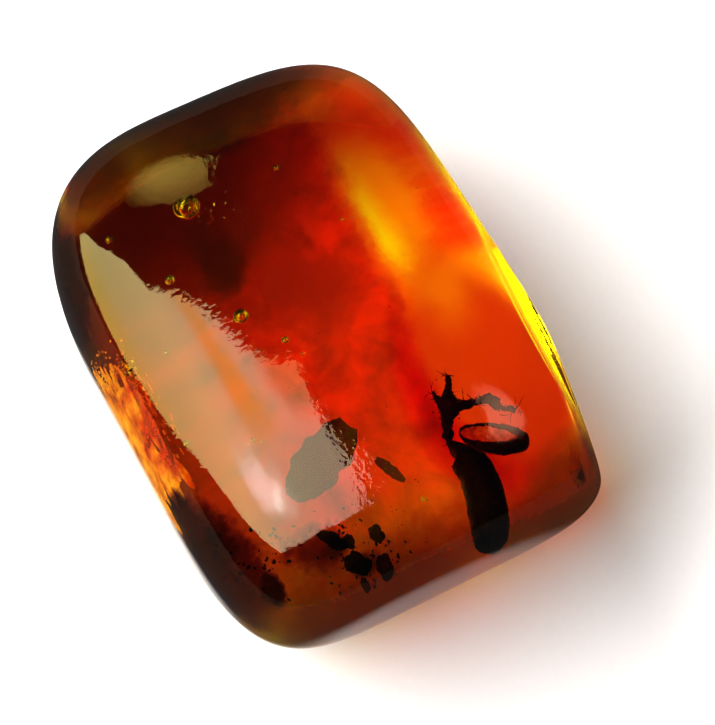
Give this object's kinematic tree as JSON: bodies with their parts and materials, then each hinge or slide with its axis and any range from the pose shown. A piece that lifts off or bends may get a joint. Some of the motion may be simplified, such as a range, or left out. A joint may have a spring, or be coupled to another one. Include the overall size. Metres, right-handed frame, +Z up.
{
  "type": "plant in amber",
  "caption": "Polished cushion-shaped amber fossil, flat below and domed above, sealing in a curved plant stem, bract, sprig, leaf fragment and litter.",
  "frame": {"origin": "bottom centre of the bounding box, on the surface that the amber rests on", "axes": "+X along the length towards the end with the stem, +Y across towards the ground facet, +Z up through the dome"},
  "size_m": [0.0241, 0.0176, 0.009],
  "materials": {
    "amber": "polished clear amber, deep red-orange where thick and yellow where thin",
    "stem": "charred brown-black, finely ridged along its length",
    "bract": "dry grey-brown with a dark rim",
    "sprig": "charred, nearly black",
    "leaf": "dry grey-brown leaf, darker towards its tip",
    "litter": "matte brown-black crumbs"
  },
  "bodies": {
    "root": {"amber_upper": "amber", "amber_lower": "amber", "stem": "stem", "bract": "bract", "sprig": "sprig", "leaf_fragment": "leaf", "flake": "leaf", "crumb_1": "litter", "crumb_2": "litter", "crumb_3": "litter", "crumb_4": "litter", "crumb_5": "litter", "crumb_6": "litter"}
  },
  "joints": []
}
